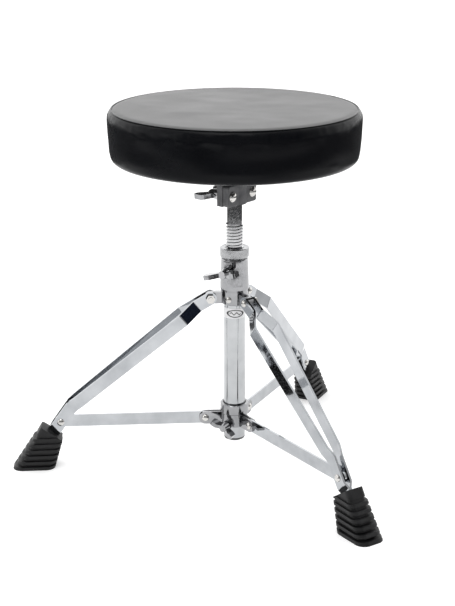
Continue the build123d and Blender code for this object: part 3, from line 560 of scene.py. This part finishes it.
def floor_flag():
    """A ring of black cloth on the floor, seen only in reflections: it keeps the seat's side dark."""
    bm = bmesh.new()
    near, far = 1.17, 5.0
    steps = 64
    inner, outer = [], []
    for i in range(steps + 1):
        angle = 2 * math.pi * i / steps
        inner.append(bm.verts.new((AXIS.x + near * math.cos(angle), AXIS.y + near * math.sin(angle), 0.004)))
        outer.append(bm.verts.new((AXIS.x + far * math.cos(angle), AXIS.y + far * math.sin(angle), 0.004)))
    for i in range(steps):
        bm.faces.new((inner[i], inner[i + 1], outer[i + 1], outer[i]))
    mesh = bpy.data.meshes.new("floor_flag")
    bm.to_mesh(mesh)
    bm.free()
    flag = bpy.data.objects.new("floor_flag", mesh)
    bpy.context.scene.collection.objects.link(flag)
    mat, tree, shader = new_material("flag_cloth")
    threads = noise_map(tree, object_coordinates(tree), 200)
    tree.links.new(tint(tree, threads, (0.02, 0.02, 0.022), (0.04, 0.04, 0.042)), shader.inputs["Base Color"])
    shader.inputs["Roughness"].default_value = 0.9
    mesh.materials.append(mat)
    show_in_reflections_only(flag)


def dark_card(azimuth, elevation, distance, width, height):
    """An upright navy card, seen only in reflections: it gives the chrome its dark patches."""
    mesh = bpy.data.meshes.new("dark_card")
    across, up = width / 2, height / 2
    corners = [(-across, -up, 0), (across, -up, 0), (across, up, 0), (-across, up, 0)]
    mesh.from_pydata(corners, [], [(0, 1, 2, 3)])
    card = bpy.data.objects.new("dark_card", mesh)
    bpy.context.scene.collection.objects.link(card)
    mat, tree, shader = new_material("card_cloth")
    threads = noise_map(tree, object_coordinates(tree), 150)
    navy = tint(tree, threads, (0.008, 0.011, 0.02), (0.014, 0.018, 0.03))
    tree.links.new(navy, shader.inputs["Base Color"])
    shader.inputs["Roughness"].default_value = 0.95
    shader.inputs["Specular IOR Level"].default_value = 0.05
    mesh.materials.append(mat)
    toward = direction(azimuth, elevation)
    card.location = AIM + toward * distance
    card.rotation_euler = toward.to_track_quat("Z", "Y").to_euler()
    show_in_reflections_only(card)


def studio_world():
    """A bright wall beyond the throne, a darker room behind the viewer, and soft top light. The camera
    itself sees plain white."""
    world = bpy.data.worlds.new("studio")
    bpy.context.scene.world = world
    world.use_nodes = True
    tree = world.node_tree
    tree.nodes.clear()
    place = tree.nodes.new("ShaderNodeTexCoord")
    split = tree.nodes.new("ShaderNodeSeparateXYZ")
    tree.links.new(place.outputs["Generated"], split.inputs[0])
    wall = remap(tree, split.outputs["Y"], 0.46, 2.0, -0.5, 0.45)
    top = remap(tree, split.outputs["Z"], 0.0, 0.75, 0.72, 0.97)
    total = tree.nodes.new("ShaderNodeMath")
    total.operation = "MAXIMUM"
    tree.links.new(wall, total.inputs[0])
    tree.links.new(top, total.inputs[1])
    room = tree.nodes.new("ShaderNodeBackground")
    tree.links.new(total.outputs[0], room.inputs["Strength"])
    plain = tree.nodes.new("ShaderNodeBackground")
    plain.inputs["Color"].default_value = (1, 1, 1, 1)
    plain.inputs["Strength"].default_value = 1.0
    path = tree.nodes.new("ShaderNodeLightPath")
    mix = tree.nodes.new("ShaderNodeMixShader")
    tree.links.new(path.outputs["Is Camera Ray"], mix.inputs["Fac"])
    tree.links.new(room.outputs[0], mix.inputs[1])
    tree.links.new(plain.outputs[0], mix.inputs[2])
    out = tree.nodes.new("ShaderNodeOutputWorld")
    tree.links.new(mix.outputs[0], out.inputs["Surface"])


def softbox(name, azimuth, elevation, distance, width, height, power):
    """A soft area light aimed at the throne."""
    light = bpy.data.lights.new(name, "AREA")
    light.shape = "RECTANGLE"
    light.size = width
    light.size_y = height
    light.energy = power
    made = bpy.data.objects.new(name, light)
    toward = direction(azimuth, elevation)
    made.location = AIM + toward * distance
    made.rotation_euler = (-toward).to_track_quat("-Z", "Y").to_euler()
    bpy.context.scene.collection.objects.link(made)


studio_floor()
floor_flag()
dark_card(315, 13, 2.6, 1.1, 0.9)
studio_world()
softbox("top_softbox", 250, 66, 3.2, 2.2, 1.6, 30)
softbox("left_softbox", 205, 22, 3.0, 0.9, 1.8, 10)

# ---- camera ----
CAMERA_OFFSET = Vector((-0.1212, -1.65, 0.7486))
camera_data = bpy.data.cameras.new("camera")
camera_data.lens = 82.8
camera = bpy.data.objects.new("camera", camera_data)
bpy.context.scene.collection.objects.link(camera)
camera.location = Vector((AXIS.x, AXIS.y, 0)) + CAMERA_OFFSET
camera.rotation_euler = (math.radians(72.04), math.radians(0.04), math.radians(-3.91))
bpy.context.scene.camera = camera
bpy.context.scene.view_settings.view_transform = "Standard"
